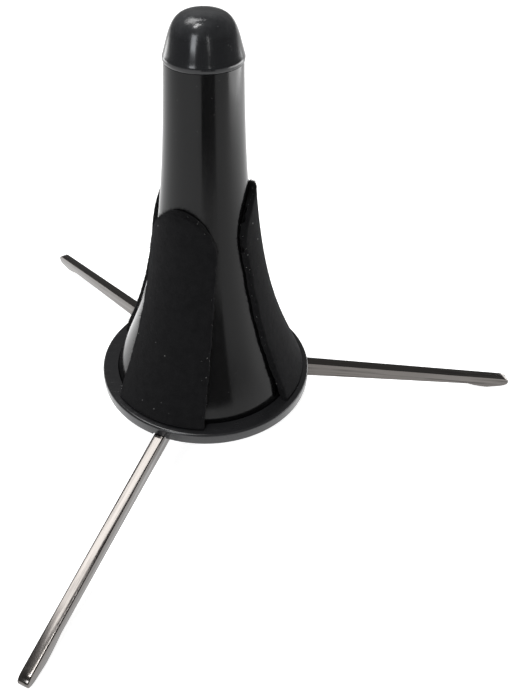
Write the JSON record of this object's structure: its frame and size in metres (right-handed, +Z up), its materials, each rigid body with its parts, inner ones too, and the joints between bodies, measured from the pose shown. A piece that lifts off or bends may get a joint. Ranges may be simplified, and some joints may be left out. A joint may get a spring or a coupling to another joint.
{
  "type": "clarinet stand",
  "caption": "Folding stand for a clarinet: a flared peg with felt pads fits inside the bell, on a pull-out base with hinged legs that fold.",
  "frame": {"origin": "centre of the hub plate's flat underside, on the peg's axis", "axes": "+Z up along the peg's axis, +X out along leg 1, +Y completes a right-handed frame"},
  "size_m": [0.1651, 0.1906, 0.1323],
  "materials": {
    "gloss_black": "polished black moulded plastic",
    "satin_black": "satin black moulded plastic",
    "felt": "black wool felt",
    "black_nickel": "polished black nickel on steel",
    "steel": "bright zinc-plated steel",
    "rubber": "black rubber",
    "nylon": "natural nylon"
  },
  "bodies": {
    "peg": {"peg_shell": "gloss_black", "top_cap": "gloss_black", "base_ring": "satin_black", "felt_pad_1": "felt", "felt_pad_2": "felt", "felt_pad_3": "felt"},
    "leg_base": {"leg_hub": "satin_black", "grip_ring": "rubber", "hub_plate": "black_nickel", "leg_pin_1": "steel", "leg_washer_1a": "nylon", "leg_washer_1b": "nylon", "hub_screw_1": "steel", "leg_pin_2": "steel", "leg_washer_2a": "nylon", "leg_washer_2b": "nylon", "hub_screw_2": "steel", "leg_pin_3": "steel", "leg_washer_3a": "nylon", "leg_washer_3b": "nylon", "hub_screw_3": "steel"},
    "leg_1": {"leg_1": "black_nickel"},
    "leg_2": {"leg_2": "black_nickel"},
    "leg_3": {"leg_3": "black_nickel"}
  },
  "joints": [
    {"name": "base_pull", "type": "slide", "parent": "peg", "child": "leg_base", "axis": [0, 0, -1], "range_m": [0, 0.03]},
    {"name": "leg_fold_1", "type": "hinge", "parent": "leg_base", "child": "leg_1", "pos_m": [0.014, 0, 0.00643], "axis": [0, 1, 0], "range_deg": [0, 85]},
    {"name": "leg_fold_2", "type": "hinge", "parent": "leg_base", "child": "leg_2", "pos_m": [-0.007, 0.01212, 0.00643], "axis": [-0.866, -0.5, 0], "range_deg": [0, 85]},
    {"name": "leg_fold_3", "type": "hinge", "parent": "leg_base", "child": "leg_3", "pos_m": [-0.007, -0.01212, 0.00643], "axis": [0.866, -0.5, 0], "range_deg": [0, 85]}
  ]
}
